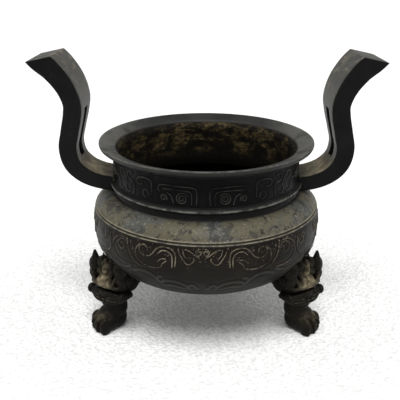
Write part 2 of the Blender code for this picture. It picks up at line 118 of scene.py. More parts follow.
class Finish:
    """One material, whose nodes are made by add()."""

    def __init__(self, name):
        self.material = bpy.data.materials.new(name)
        self.material.use_nodes = True
        self.tree = self.material.node_tree
        self.shader = self.tree.nodes["Principled BSDF"]
        self.place = self.add("TexCoord", {}, {}, "Object")

    def add(self, kind, settings, sockets, output=0):
        node = self.tree.nodes.new("ShaderNode" + kind)
        for name, setting in settings.items():
            setattr(node, name, setting)
        for name, value in sockets.items():
            self.put(node.inputs[name], value)
        return Value(self, node.outputs[output])

    def put(self, socket, value):
        if isinstance(value, Value):
            self.tree.links.new(value.socket, socket)
        elif isinstance(value, tuple) and len(value) == 3 and socket.type == "RGBA":
            socket.default_value = (*value, 1.0)
        else:
            socket.default_value = value

    def mix(self, mask, first, second):
        """first where the mask is 0, second where it is 1; both are colours."""
        return self.add("Mix", {"data_type": "RGBA"}, {0: mask, 6: first, 7: second}, 2)

    def noise(self, size, detail=4.0, roughness=0.55, distortion=0.0, vector=None):
        """Cloudy noise whose blots are about this many metres wide."""
        return self.add("TexNoise", {}, {"Vector": vector or self.place, "Scale": 1 / size,
                                         "Detail": detail, "Roughness": roughness,
                                         "Distortion": distortion})

    def cells(self, size, feature="F1"):
        return self.add("TexVoronoi", {"feature": feature}, {"Vector": self.place, "Scale": 1 / size})

    def painted(self, name):
        """A value that was stored on the mesh, point by point."""
        return self.add("Attribute", {"attribute_name": name}, {}, "Fac")

    def stretched(self, scale):
        return self.add("Mapping", {}, {"Vector": self.place, "Scale": scale})

    def axis(self, letter):
        return self.add("SeparateXYZ", {}, {"Vector": self.place}, letter)

    def bump(self, height, strength, distance):
        normal = self.add("Bump", {}, {"Height": height, "Strength": strength, "Distance": distance})
        self.put(self.shader.inputs["Normal"], normal)

    def surface(self, colour, roughness, metallic, gloss):
        self.put(self.shader.inputs["Base Color"], colour)
        self.put(self.shader.inputs["Roughness"], roughness)
        self.put(self.shader.inputs["Metallic"], metallic)
        self.shader.inputs["Specular IOR Level"].default_value = gloss
        return self.material


# %% [markdown]
# The floor of the photograph is a pale, finely pebbled sheet that is lit until it is almost white. Only
# in the shadow under the bowl do its pebbles show. A large grid with a bump of small cells does that.

# %% Floor


def pebbled_floor():
    finish = Finish("pale_floor")
    pebbles = finish.cells(0.0019, "SMOOTH_F1")
    fine = finish.noise(0.0010, 3.0)
    finish.bump(1 - pebbles + fine * 0.5, 0.9, 0.0012)
    colour = finish.mix(pebbles.step(0.15, 0.75), (0.95, 0.95, 0.94), (0.74, 0.74, 0.73))
    return finish.surface(colour, 0.75, 0.0, 0.1)


def mesh_from(bm, name):
    mesh = bpy.data.meshes.new(name)
    bm.to_mesh(mesh)
    bm.free()
    return mesh


bm = bmesh.new()
bmesh.ops.create_grid(bm, x_segments=8, y_segments=8, size=6.0)
floor = add_object("floor", mesh_from(bm, "floor"))
floor.data.materials.append(pebbled_floor())

# %% [markdown]
# The light comes from high above and from both sides, and only little of it from the camera's side:
# in the photograph the shoulder and the handles' upper faces are pale, while the neck, which faces the
# camera, is almost black. Three very wide suns over a dim sky do that. Standard colours keep
# the white of the floor white.

# %% Light


def wide_sun(name, bearing, climb, width, power):
    """A sun seen in a direction: bearing from the back (+Y) to the right, climb above the floor."""
    data = bpy.data.lights.new(name, "SUN")
    data.angle = math.radians(width)
    data.energy = power
    lamp = add_object(name, data)
    side, up = math.radians(bearing), math.radians(climb)
    toward = Vector((math.sin(side) * math.cos(up), math.cos(side) * math.cos(up), math.sin(up)))
    lamp.rotation_euler = toward.to_track_quat("Z", "Y").to_euler()
    return lamp


world = bpy.data.worlds.new("dim_sky")
bpy.context.scene.world = world
world.use_nodes = True
world.node_tree.nodes["Background"].inputs["Color"].default_value = (1.0, 1.0, 1.0, 1.0)
world.node_tree.nodes["Background"].inputs["Strength"].default_value = 0.48
wide_sun("sun_above", 180, 70, 32, 2.6)
wide_sun("sun_left", -84, 34, 50, 0.60)
wide_sun("sun_right", 84, 34, 50, 0.60)
bpy.context.scene.view_settings.view_transform = "Standard"

# %% [markdown]
# Most shapes here are made with bmesh operators and then finished point by point. Numpy reads and
# writes all points of a mesh at once, which keeps a mesh of 90,000 points quick to work on.

# %% Helpers for meshes


def points_of(mesh):
    flat = np.empty(len(mesh.vertices) * 3)
    mesh.vertices.foreach_get("co", flat)
    return flat.reshape(-1, 3)


def set_points(mesh, points):
    mesh.vertices.foreach_set("co", points.ravel())
    mesh.update()


def normals_of(mesh):
    flat = np.empty(len(mesh.vertices) * 3)
    mesh.vertex_normals.foreach_get("vector", flat)
    return flat.reshape(-1, 3)


def store(mesh, name, values):
    """Keeps one number for each point, which a material can read by this name."""
    attribute = mesh.attributes.get(name) or mesh.attributes.new(name, "FLOAT", "POINT")
    attribute.data.foreach_set("value", values.astype(np.float32))


def soft_step(values, low, high):
    share = np.clip((values - low) / (high - low), 0, 1)
    return share * share * (3 - 2 * share)


def proudness(mesh, rounds):
    """How far each point stands above the smoothed surface, in metres: edges above 0, hollows below."""
    ends = np.empty(len(mesh.edges) * 2, dtype=np.int64)
    mesh.edges.foreach_get("vertices", ends)
    ends = ends.reshape(-1, 2)
    count = len(mesh.vertices)
    first, second = ends[:, 0], ends[:, 1]
    share = np.bincount(first, minlength=count) + np.bincount(second, minlength=count)
    start = points_of(mesh)
    smooth = start.copy()
    for _ in range(rounds):
        total = np.stack([np.bincount(first, smooth[second, k], count)
                          + np.bincount(second, smooth[first, k], count) for k in range(3)], axis=1)
        smooth = 0.5 * smooth + 0.5 * total / np.maximum(share, 1)[:, None]
    return ((start - smooth) * normals_of(mesh)).sum(1)


def link_piece(name, mesh, finish, node, sharp=None):
    """Moves a finished mesh from the bowl's axis to its place and makes it a piece of the object."""
    points = points_of(mesh)
    points[:, 1] += AXIS_Y
    set_points(mesh, points)
    mesh.shade_smooth()
    if sharp:
        mesh.set_sharp_from_angle(angle=math.radians(sharp))
    mesh.materials.clear()
    mesh.materials.append(finish)
    piece = add_object(name, mesh)
    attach(piece, "root")
    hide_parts(node)
    mesh.calc_loop_triangles()
    print(name, len(mesh.loop_triangles), "triangles")


# %% [markdown]
# The bowl is turned from one outline. Belly and shoulder are parts of a superellipse, which is rounder
# than an ellipse, as a cast bowl of this kind is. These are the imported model's own sizes.

# %% The bowl's sizes and curves
BOWL_FLOOR_Z = 0.0282
BELLY_DEPTH = 0.0430
BELLY_RADIUS = 0.0810
BELLY_EXPONENT = 2.41
BELLY_Z = BOWL_FLOOR_Z + BELLY_DEPTH
SHOULDER_HEIGHT = 0.0235
SHOULDER_CENTRE_RADIUS = 0.0614
SHOULDER_TOP_RADIUS = 0.0672
NECK_RADIUS = 0.0653
NECK_HEIGHT = 0.0195
RIDGE_PROUD = 0.0028
LIP_RADIUS = 0.0750
MOUTH_RADIUS = 0.0637
WALL = 0.0038
BOWL_FLOOR_THICKNESS = 0.0050
SEAT_CLEARANCE = 0.0003


def skin_radius(z, wall=0.0):
    """Radius of the belly or shoulder at a height, for one number or an array."""
    z = np.asarray(z, dtype=float)
    upper = np.clip((z - BELLY_Z) / (SHOULDER_HEIGHT - wall), 0, 1) ** BELLY_EXPONENT
    lower = np.clip((BELLY_Z - z) / (BELLY_DEPTH - wall), 0, 1) ** BELLY_EXPONENT
    reach = BELLY_RADIUS - wall - SHOULDER_CENTRE_RADIUS
    shoulder = SHOULDER_CENTRE_RADIUS + reach * (1 - upper) ** (1 / BELLY_EXPONENT)
    belly = (BELLY_RADIUS - wall) * (1 - lower) ** (1 / BELLY_EXPONENT)
    return np.where(z > BELLY_Z, shoulder, belly)


def height_on_shoulder(radius):
    share = (radius - SHOULDER_CENTRE_RADIUS) / (BELLY_RADIUS - SHOULDER_CENTRE_RADIUS)
    return BELLY_Z + SHOULDER_HEIGHT * (1 - share ** BELLY_EXPONENT) ** (1 / BELLY_EXPONENT)


SHOULDER_TOP_Z = height_on_shoulder(SHOULDER_TOP_RADIUS)
RIDGE_Z = SHOULDER_TOP_Z + 0.0050
NECK_Z = RIDGE_Z + 0.0030
NECK_TOP_Z = NECK_Z + NECK_HEIGHT
LIP_Z = NECK_TOP_Z + 0.0080
BEAD_Z = SHOULDER_TOP_Z - 0.0098
LOW_THREAD_Z = BEAD_Z - 0.00105
HIGH_THREAD_Z = BEAD_Z + 0.00075
print("bead at", round(float(BEAD_Z), 4), "lip at", round(float(LIP_Z), 4))


def evenly(points, spacing):
    """The same line with its points this far apart; its two ends stay."""
    line = np.array(points, dtype=float)
    steps = np.hypot(*np.diff(line, axis=0).T)
    along = np.concatenate([[0], np.cumsum(steps)])
    count = max(2, int(round(along[-1] / spacing)) + 1)
    at = np.linspace(0, along[-1], count)
    return [(float(np.interp(s, along, line[:, 0])), float(np.interp(s, along, line[:, 1]))) for s in at]


def belly_line(top, wall=0.0, floor=0.0):
    """The belly from the middle of its underside up to a height that may lie on the shoulder."""
    angles = np.linspace(math.pi / 2, 0, 160)
    power = 2 / BELLY_EXPONENT
    radii = (BELLY_RADIUS - wall) * np.maximum(np.cos(angles), 0) ** power
    heights = BELLY_Z - (BELLY_DEPTH - floor) * np.sin(angles) ** power
    line = [(float(r), float(z)) for r, z in zip(radii, heights)]
    line[0] = (0.0, line[0][1])
    if top > BELLY_Z:
        line += [(float(skin_radius(z, wall)), float(z)) for z in np.linspace(BELLY_Z, top, 60)[1:]]
    return line


def turned(outline, sides, closed=False):
    """Wraps a grid round the bowl's axis: its columns become the sides, its rows the outline.

    An operator spins a few hundred sides far more slowly than it makes a grid. closed joins the
    outline's last point to its first, for a ring; otherwise both ends lie on the axis.
    """
    line = np.array(outline + outline[:1] if closed else outline)
    bm = bmesh.new()
    bmesh.ops.create_grid(bm, x_segments=sides, y_segments=len(line) - 1, size=0.5)
    for vert in bm.verts:
        angle = 2 * math.pi * (vert.co.x + 0.5)
        radius, height = line[round((vert.co.y + 0.5) * (len(line) - 1))]
        vert.co = (radius * math.cos(angle), radius * math.sin(angle), height)
    bmesh.ops.remove_doubles(bm, verts=bm.verts, dist=1e-6)
    bmesh.ops.dissolve_degenerate(bm, edges=bm.edges, dist=1e-7)
    if bm.calc_volume(signed=True) < 0:
        bmesh.ops.reverse_faces(bm, faces=bm.faces)
    return bm


# %% [markdown]
# The bowl's body carries the lip, the neck's inner wall, the shoulder with its double bead, and the
# hollow belly. Under the two relief bands it is cut back by less than a millimetre, because each band
# is a skin of its own: the carving needs points less than a millimetre apart, and the rest doesn't.

# %% Outline of the bowl's body
BAND_SINK = 0.0008


def rounded(points, reach, steps=4):
    """Replaces each inner corner of a line by a small arc that starts this far from the corner."""
    line = [points[0]]
    for before, corner, after in zip(points, points[1:], points[2:]):
        before, corner, after = (Vector(p) for p in (before, corner, after))
        start = corner + (before - corner).normalized() * min(reach, (before - corner).length * 0.45)
        end = corner + (after - corner).normalized() * min(reach, (after - corner).length * 0.45)
        for i in range(steps + 1):
            t = i / steps
            line.append(tuple((1 - t) ** 2 * start + 2 * t * (1 - t) * corner + t * t * end))
    return line + [points[-1]]


def bead_line():
    """Two thin threads with a groove between them, at the shoulder's edge."""
    low, high = BEAD_Z - 0.0022, BEAD_Z + 0.0016
    line = []
    for z in np.linspace(low, high, 27):
        rise = 0.00055 * math.exp(-((z - LOW_THREAD_Z) / 0.00036) ** 2)
        rise += 0.00062 * math.exp(-((z - HIGH_THREAD_Z) / 0.00036) ** 2)
        rise -= 0.00022 * math.exp(-((z - BEAD_Z + 0.00015) / 0.00035) ** 2)
        line.append((float(skin_radius(z)) + rise, float(z)))
    return line


def body_outline():
    cut_back = belly_line(BEAD_Z - 0.0024, BAND_SINK, BAND_SINK)
    shoulder = [(float(skin_radius(z)), float(z)) for z in np.linspace(BEAD_Z + 0.0018, BEAD_Z + 0.0040, 5)]
    shoulder += [(float(r), float(height_on_shoulder(r)))
                 for r in np.linspace(float(skin_radius(BEAD_Z + 0.0042)), SHOULDER_TOP_RADIUS, 14)]
    foot = rounded([
        (SHOULDER_TOP_RADIUS, SHOULDER_TOP_Z),
        (NECK_RADIUS + 0.0003, SHOULDER_TOP_Z + 0.0006),
        (NECK_RADIUS + 0.0001, RIDGE_Z - 0.0012),
        (NECK_RADIUS + 0.0019, RIDGE_Z - 0.0002),
        (NECK_RADIUS + RIDGE_PROUD, RIDGE_Z + 0.0012),
        (NECK_RADIUS + 0.0017, NECK_Z - 0.0003),
        (NECK_RADIUS - 0.0001, NECK_Z + 0.0004),
        (NECK_RADIUS - BAND_SINK, NECK_Z + 0.0010),
    ], 0.0009)
    lip = rounded([
        (NECK_RADIUS - BAND_SINK, NECK_TOP_Z - 0.0008),
        (NECK_RADIUS, NECK_TOP_Z - 0.0001),
        (NECK_RADIUS + 0.0020, NECK_TOP_Z + 0.0022),
        (LIP_RADIUS - 0.0024, LIP_Z - 0.0042),
        (LIP_RADIUS - 0.0006, LIP_Z - 0.0030),
        (LIP_RADIUS, LIP_Z - 0.0007),
        (LIP_RADIUS - 0.0008, LIP_Z),
        (LIP_RADIUS - 0.0020, LIP_Z - 0.0004),
        (MOUTH_RADIUS + 0.0007, LIP_Z - 0.0035),
        (MOUTH_RADIUS - 0.0001, LIP_Z - 0.0044),
        (NECK_RADIUS - WALL, LIP_Z - 0.0085),
        (NECK_RADIUS - WALL, NECK_Z),
    ], 0.0008)
    throat_ends = [(NECK_RADIUS - WALL, NECK_Z), (NECK_RADIUS - WALL, SHOULDER_TOP_Z + 0.0004)]
    throat = evenly(throat_ends, 0.0020)[1:]
    inside_top = BELLY_Z + SHOULDER_HEIGHT - WALL
    turn_in = [(NECK_RADIUS - WALL + 0.0010, inside_top - 0.0006)]
    inner = belly_line(inside_top - 0.0020, WALL, BOWL_FLOOR_THICKNESS)[::-1]
    return (evenly(cut_back, 0.0060) + bead_line() + shoulder + foot[1:] + evenly(lip, 0.0009)
            + throat + turn_in + evenly(inner, 0.0040))


outline = body_outline()
print("bowl body outline has", len(outline), "points")

# %% [markdown]
# The relief is drawn flat, in millimetres across and down from the top of its band, and each point of
# the band rises by how near it lies to a stroke. The belly repeats one mirrored panel three times,
# between the legs: hooks beside a small nose, brow arches that end in a curl, and lying scrolls below.

# %% Strokes of the relief


def curl(centre, start_radius, end_radius, start, turns, steps=18):
    """A scroll that winds from its outer end in to its eye. Angles are in degrees, 90 points down."""
    angles = np.radians(start + 360 * turns * np.linspace(0, 1, steps))
    radii = np.linspace(start_radius, end_radius, steps)
    return [(centre[0] + r * math.cos(a), centre[1] + r * math.sin(a)) for r, a in zip(radii, angles)]


def flowing(points, steps=5, kind=np.array):
    """A smooth line through given points, flat or, with Vector as its kind, in space."""
    padded = [points[0]] + list(points) + [points[-1]]
    line = []
    for four in zip(padded, padded[1:], padded[2:], padded[3:]):
        a, b, c, d = (kind(p) for p in four)
        for i in range(steps):
            t = i / steps
            line.append(0.5 * (2 * b + (c - a) * t + (2 * a - 5 * b + 4 * c - d) * t ** 2
                               + (3 * b - a - 3 * c + d) * t ** 3))
    return line + [kind(points[-1])]


BELLY_THREADS = [
    flowing([(15.2, 1.2), (14.4, 4.5), (11.8, 8.7), (9.6, 11.4), (7.2, 10.9), (5.2, 8.6), (5.6, 7.0)]),
    flowing([(12.4, 2.0), (11.4, 5.6), (9.6, 7.4)], 4),
    curl((2.2, 3.6), 2.3, 0.7, 250, 1.3),
    flowing([(2.0, 6.6), (4.2, 5.6), (7.4, 3.0), (11.6, 1.6)], 4),
    flowing([(17.2, 13.8), (16.8, 8.6), (17.4, 4.6), (20.4, 2.2), (25.6, 1.7), (29.6, 3.6), (33.0, 8.0),
             (37.2, 9.7), (41.2, 8.0), (42.0, 4.8), (39.4, 2.6), (36.4, 3.6), (35.6, 5.8)]),
    flowing([(19.2, 14.6), (18.8, 8.8), (19.8, 5.8), (22.4, 4.2), (25.8, 4.2), (28.4, 6.4)]),
    flowing([(41.6, 2.4), (44.6, 6.6), (44.4, 11.6), (40.2, 15.4), (33.0, 16.8), (27.0, 15.6),
             (25.4, 12.8), (22.8, 10.6)]),
    flowing([(23.2, 9.2), (26.4, 9.8), (28.8, 12.2)], 4),
    flowing([(52.2, 2.0), (50.6, 8.4), (47.0, 14.6), (41.0, 18.2)]),
    curl((56.8, 7.2), 4.6, 1.2, 200, 1.35),
    flowing([(54.6, 2.0), (60.2, 2.4), (64.8, 6.0), (66.2, 12.4), (62.0, 18.0), (54.0, 19.4),
             (48.0, 19.0)]),
    curl((73.6, 6.8), 4.4, 1.2, 330, -1.4),
    flowing([(69.6, 2.4), (68.6, 9.6), (71.0, 15.4), (77.4, 18.6), (84.8, 18.8)]),
]
BELLY_LOW_SCROLLS = [
    flowing([(3.4, 30.6), (5.2, 28.0), (8.0, 27.4), (9.4, 29.6), (8.0, 31.4)]),
    flowing([(9.8, 29.2), (14.0, 26.2), (20.6, 25.2), (25.4, 25.8)]),
    flowing([(26.6, 22.6), (29.2, 23.4), (29.8, 26.2), (27.8, 27.6), (26.4, 26.2)]),
    flowing([(30.0, 25.6), (35.0, 22.0), (42.4, 21.4), (48.0, 23.8)]),
    flowing([(12.0, 31.2), (20.0, 29.4), (27.0, 30.6)]),
    flowing([(50.0, 20.8), (56.0, 23.6), (64.0, 24.6), (72.0, 22.8)]),
    curl((77.5, 24.0), 3.6, 1.1, 180, 1.2, 14),
]
NECK_THREADS = [
    flowing([(4.4, 17.6), (4.0, 12.0), (4.2, 8.2), (5.6, 6.2), (12.0, 5.6), (24.0, 5.4),
             (28.2, 6.0), (29.4, 8.4), (28.6, 10.2)]),
    flowing([(7.4, 17.6), (7.2, 12.0), (7.8, 9.4), (10.0, 8.4), (18.0, 8.0), (26.0, 8.2)]),
    curl((13.4, 13.6), 4.2, 0.7, 200, 2.1, 34),
    curl((25.6, 14.2), 2.6, 0.7, 150, 1.3, 14),
    flowing([(18.8, 17.6), (20.4, 12.4), (23.2, 10.6)], 4),
    flowing([(34.6, 14.6), (34.2, 9.0), (35.0, 4.6), (38.6, 3.6), (44.0, 4.0), (46.6, 6.4),
             (44.6, 8.8), (41.6, 8.0)]),
    flowing([(36.8, 15.4), (37.4, 11.6), (40.8, 12.0), (41.4, 15.0), (38.8, 16.6)], 4),
    flowing([(50.4, 17.2), (49.4, 11.6), (51.0, 8.0), (55.0, 7.4), (57.0, 4.4), (54.4, 2.4), (51.2, 3.4)]),
    flowing([(53.2, 15.8), (56.8, 16.6), (58.8, 13.4), (57.0, 10.6), (59.4, 6.4), (62.4, 3.0),
             (65.8, 3.6), (66.2, 7.0), (63.6, 8.2)]),
    flowing([(62.0, 16.8), (66.4, 16.0), (68.2, 12.0), (71.6, 9.6), (76.0, 10.6)]),
    curl((80.6, 9.6), 4.4, 0.9, 180, 1.6, 20),
    flowing([(88.4, 3.6), (88.0, 10.0), (91.0, 15.0), (98.0, 16.4), (102.0, 14.0)]),
]
print("strokes:", len(BELLY_THREADS), "belly,", len(BELLY_LOW_SCROLLS), "low,", len(NECK_THREADS), "neck")


def distance_to(strokes, across, down):
    """Distance from each point of the band to the nearest stroke, all in millimetres."""
    starts = np.array([a for stroke in strokes for a in stroke[:-1]])
    spans = np.array([b for stroke in strokes for b in stroke[1:]]) - starts
    nearest = np.full(len(across), 99.0)
    points = np.stack([across, down], axis=1)
    lengths = np.maximum((spans ** 2).sum(1), 1e-9)
    for first in range(0, len(points), 6000):
        chunk = points[first:first + 6000]
        offset = chunk[:, None, :] - starts[None]
        share = np.clip((offset * spans[None]).sum(2) / lengths, 0, 1)
        gap = offset - share[..., None] * spans[None]
        nearest[first:first + 6000] = np.sqrt((gap ** 2).sum(2).min(1))
    return nearest


# %% [markdown]
# Real casting wavers a little, and hands and cloths have worn the carving down in places. A few slow
# waves round the bowl stand for both: they bend the skin by a tenth of a millimetre and make some
# strokes fainter than others.

# %% Lay the relief on a band
PATTERN_TURN = -1.6
THREAD_WIDTH, THREAD_RISE = 0.42, 0.00050
GROUND_WIDTH, GROUND_DEPTH = 2.4, 0.00026
SCROLL_WIDTH, SCROLL_RISE, SCROLL_EDGE_DEPTH = 0.95, 0.00042, 0.00018


def slow_waves(angle, z, seed):
    """A smooth wandering value between about -1 and 1."""
    total = np.zeros_like(angle)
    waves = [(3, 60, 1.0), (5, 130, 0.8), (9, 210, 0.6), (16, 380, 0.5), (27, 560, 0.35)]
    for i, (turns, climb, size) in enumerate(waves):
        total += size * np.sin(turns * angle + climb * z + seed * (i + 1.7)) / 2.2
    return total


def band_coordinates(points, radius, top, panels):
    """Millimetres across from the nearest panel's middle, always positive, and down from the top."""
    angle = np.arctan2(points[:, 1], points[:, 0]) + math.pi / 2 - math.radians(PATTERN_TURN)
    period = 2 * math.pi / panels
    folded = np.abs((angle + period / 2) % period - period / 2)
    return folded * radius * 1000, (top - points[:, 2]) * 1000, angle


def raise_threads(mesh, skin, radius, top, panels, threads, low_scrolls=None):
    """Moves the band's outer points out or in along their normals and stores what it did."""
    points = points_of(mesh)
    across, down, angle = band_coordinates(points, radius, top, panels)
    outer = np.hypot(points[:, 0], points[:, 1]) > skin(points[:, 2]) - 0.0004
    near = np.full(len(points), 99.0)
    near[outer] = distance_to(threads, across[outer], down[outer])
    faint = 0.78 + 0.22 * slow_waves(angle, points[:, 2], 2.0)
    thread = np.exp(-(near / THREAD_WIDTH) ** 2)
    ground = np.exp(-(near / GROUND_WIDTH) ** 2) * (1 - np.exp(-(near / 0.7) ** 2))
    rise = THREAD_RISE * faint * thread - GROUND_DEPTH * ground
    if low_scrolls:
        low = np.full(len(points), 99.0)
        low[outer] = distance_to(low_scrolls, across[outer], down[outer])
        rise += SCROLL_RISE * np.exp(-(low / SCROLL_WIDTH) ** 2)
        rise -= SCROLL_EDGE_DEPTH * np.exp(-((low - 2.0) / 0.9) ** 2)
        store(mesh, "upper", 1 - soft_step(down, 3.0, 17.0))
        store(mesh, "scroll", np.exp(-(low / 1.0) ** 2))
    fade = soft_step(down, -0.4, 1.0)
    rise = (rise + 0.00008 * slow_waves(angle * 2, points[:, 2], 5.0)) * fade
    points += normals_of(mesh) * (rise * outer)[:, None]
    set_points(mesh, points)
    store(mesh, "thread", thread * faint * fade)
    store(mesh, "ground", ground * fade)


# %% [markdown]
# Old dark bronze is never one colour. A near-black skin lies over brown metal, dust settles in the
# hollows, and edges that hands touch are polished lighter; those lighter edges are painted highlights as
# well. The finish below mixes these by cloudy noise at three sizes and by how far each point stands proud
# of its surroundings. It also paints light and shade into the colour: highlights along the lip and the
# ring under the neck, a reflection on the rim's sides, light on the handles' upper and inner faces, and
# shade in the hollow under that ring and inside the bowl.

# %% Bronze finishes


def bronze_layers(finish, dark, mid, light):
    """The ground colour: dark, with broad clouds of mid and small flecks of light."""
    broad = finish.noise(0.045, 5.0, 0.6, 0.4)
    small = finish.noise(0.009, 5.0, 0.65, 0.8)
    fleck = finish.noise(0.0022, 3.0, 0.7)
    colour = finish.mix(broad.step(0.38, 0.66) * 0.8, dark, mid)
    return finish.mix(small.step(0.56, 0.76) * fleck.step(0.35, 0.65) * 0.65, colour, light)


def cast_grain(finish, strength=0.30, coarse=0.25):
    """Sand grain, small pits and slow unevenness, as one height for the bump."""
    grain = finish.noise(0.0011, 4.0, 0.6)
    pits = finish.cells(0.0034).step(0.10, 0.0) * finish.noise(0.012, 2.0).step(0.5, 0.62)
    uneven = finish.noise(0.0060, 3.0)
    finish.bump(grain * 0.55 + uneven * coarse - pits * 0.8, strength, 0.0005)


def body_bronze():
    finish = Finish("bronze_body_patina_and_painted_light")
    height = finish.axis("Z")
    inside = finish.painted("inside")
    proud = finish.painted("proud")
    colour = bronze_layers(finish, (0.011, 0.011, 0.011), (0.020, 0.019, 0.017), (0.050, 0.047, 0.040))
    shoulder = height.step(BEAD_Z - 0.0004, BEAD_Z + 0.0012)
    shoulder = shoulder * height.step(SHOULDER_TOP_Z + 0.0006, SHOULDER_TOP_Z - 0.0006)
    broad = finish.noise(0.030, 5.0, 0.62, 0.6)
    small = finish.noise(0.0042, 5.0, 0.7, 0.5)
    grey_green = finish.mix(broad.step(0.47, 0.60), (0.098, 0.089, 0.060), (0.078, 0.079, 0.072))
    stains = finish.noise(0.015, 6.0, 0.75, 1.2).step(0.51, 0.57)
    stained = finish.mix(stains * 0.75, grey_green, (0.032, 0.033, 0.032))
    blotched = finish.mix(small.step(0.56, 0.63) * 0.85, stained, (0.022, 0.020, 0.016))
    flecks = finish.noise(0.0017, 3.0, 0.6).step(0.58, 0.68)
    flecked = finish.mix(flecks * 0.5, blotched, (0.26, 0.245, 0.19))
    colour = finish.mix(shoulder * 0.94, colour, flecked)
    rim = finish.painted("rim_top")
    rim_tone = finish.mix(finish.noise(0.020, 4.0, 0.6).step(0.35, 0.65), (0.014, 0.014, 0.0135),
                          (0.024, 0.024, 0.0225))
    # Painted reflection: the rim's top is painted lighter grey on its left and right, towards the handles.
    near_handles = finish.painted("near_handles") * finish.noise(0.014, 4.0, 0.6).step(0.25, 0.55)
    rim_tone = finish.mix(near_handles * 0.85, rim_tone, (0.098, 0.096, 0.085))
    colour = finish.mix(rim * 0.9, colour, rim_tone)
    # Edges that stand proud are lighter: polish from handling, and a painted highlight.
    colour = finish.mix(proud.step(0.00002, 0.00012) * (1 - inside) * 0.08, colour, (0.15, 0.147, 0.132))
    colour = finish.mix(proud.step(-0.00002, -0.00015) * 0.7, colour, (0.008, 0.007, 0.006))
    broken = finish.noise(0.006, 5.0, 0.7).step(0.40, 0.58)
    # Painted shade: the hollow between the shoulder and the raised ring under the neck is painted
    # near-black.
    colour = finish.mix(finish.painted("cove_shade") * 0.9, colour, (0.006, 0.006, 0.006))
    colour = finish.mix(finish.painted("threads") * (broken * 0.6 + 0.3), colour, (0.27, 0.24, 0.165))
    # Painted highlight: a thin broken light line along the lip's outer edge.
    colour = finish.mix(finish.painted("rim_edge_highlight") * (broken * 0.5 + 0.25), colour, (0.15, 0.148, 0.135))
    # Painted highlight: a thin broken light line along the raised ring under the neck.
    colour = finish.mix(finish.painted("ridge_highlight") * (broken * 0.85 + 0.1), colour, (0.17, 0.168, 0.152))
    # Inside, the colour is near-black as painted shade deep in the bowl; the ochre patina shows only high
    # on the neck's inner wall, where light reaches.
    flat_place = finish.stretched((1.0, 1.0, 2.0))
    ochre = finish.noise(0.012, 8.0, 0.75, 0.2, flat_place).step(0.44, 0.66) * height.step(0.096, 0.110)
    ochre = ochre * finish.noise(0.0024, 4.0, 0.7, 0.0, flat_place).step(0.34, 0.58)
    # Less ochre towards the handles.
    ochre = ochre * (1 - finish.painted("near_handles") * 0.55)
    inner = finish.mix(ochre * 0.9, (0.0042, 0.0035, 0.0024), (0.125, 0.092, 0.040))
    colour = finish.mix(inside, colour, inner)
    cast_grain(finish)
    roughness = finish.noise(0.006, 3.0).step(0.2, 0.8) * 0.16 + 0.40 + inside * 0.25
    return finish.surface(colour, roughness, (1 - inside) * 0.10, 0.10)


def band_bronze(name, dark, mid, light, ground_colour, thread_colour, gloss):
    finish = Finish(name)
    proud = finish.painted("proud")
    thread = finish.painted("thread")
    colour = bronze_layers(finish, dark, mid, light)
    colour = finish.mix(finish.painted("ground").step(0.15, 0.75) * 0.75, colour, ground_colour)
    worn = finish.noise(0.011, 4.0, 0.6).step(0.30, 0.58)
    colour = finish.mix(thread.step(0.35, 0.85) * worn * 0.85, colour, thread_colour)
    specks = finish.noise(0.0013, 3.0, 0.6).step(0.58, 0.68)
    specks = specks * finish.noise(0.007, 3.0, 0.6).step(0.42, 0.60)
    colour = finish.mix(specks * finish.painted("upper") * 0.6, colour, thread_colour)
    colour = finish.mix(finish.painted("scroll").step(0.25, 0.9) * 0.5, colour, (0.044, 0.044, 0.038))
    colour = finish.mix(proud.step(-0.00002, -0.00010) * 0.6, colour, (0.006, 0.005, 0.004))
    cast_grain(finish, 0.34, 0.30)
    roughness = finish.noise(0.005, 3.0).step(0.2, 0.8) * 0.14 + 0.38
    return finish.surface(colour, roughness, 0.20, gloss)


# %% Build the bowl's body
mesh = mesh_from(turned(outline, 420), "bowl_body")
points = points_of(mesh)
radius, z = np.hypot(points[:, 0], points[:, 1]), points[:, 2]
in_throat = (radius < MOUTH_RADIUS - 0.0003) & (z > SHOULDER_TOP_Z)
in_belly = (radius < skin_radius(z) - 0.0022) & (z <= SHOULDER_TOP_Z)
outside = ~(in_throat | in_belly)
threads = sum(np.exp(-((z - thread_z) / 0.00032) ** 2) for thread_z in (LOW_THREAD_Z, HIGH_THREAD_Z))
upward = soft_step(normals_of(mesh)[:, 2], 0.45, 0.8)
store(mesh, "inside", (~outside).astype(float))
store(mesh, "proud", proudness(mesh, 4))
store(mesh, "threads", np.clip(threads, 0, 1) * outside)
# Where the painted highlight lies: the outer rounding of the raised ring under the neck.
store(mesh, "ridge_highlight", soft_step(radius, NECK_RADIUS + 0.0021, NECK_RADIUS + 0.0027) * outside
      * (z > RIDGE_Z - 0.0001) * (z < NECK_Z + 0.0004))
store(mesh, "rim_top", upward * (z > LIP_Z - 0.0046) * (radius > MOUTH_RADIUS - 0.0004))
# Where the painted highlight on the lip's outer edge lies.
store(mesh, "rim_edge_highlight", soft_step(radius, LIP_RADIUS - 0.0009, LIP_RADIUS - 0.0004) * (z > LIP_Z - 0.0006))
# near_handles: 0 in the middle, 1 towards the handles; it places the painted reflection on the rim's sides
# and thins the ochre inside.
store(mesh, "near_handles", soft_step(np.abs(points[:, 0]) / LIP_RADIUS, 0.55, 0.95))
# Where the painted shade lies: the hollow under the raised ring below the neck.
store(mesh, "cove_shade", 1.0 * outside * (z > SHOULDER_TOP_Z + 0.0002) * (z < RIDGE_Z - 0.0004))
link_piece("bowl_body", mesh, body_bronze(), "bowl", sharp=50)

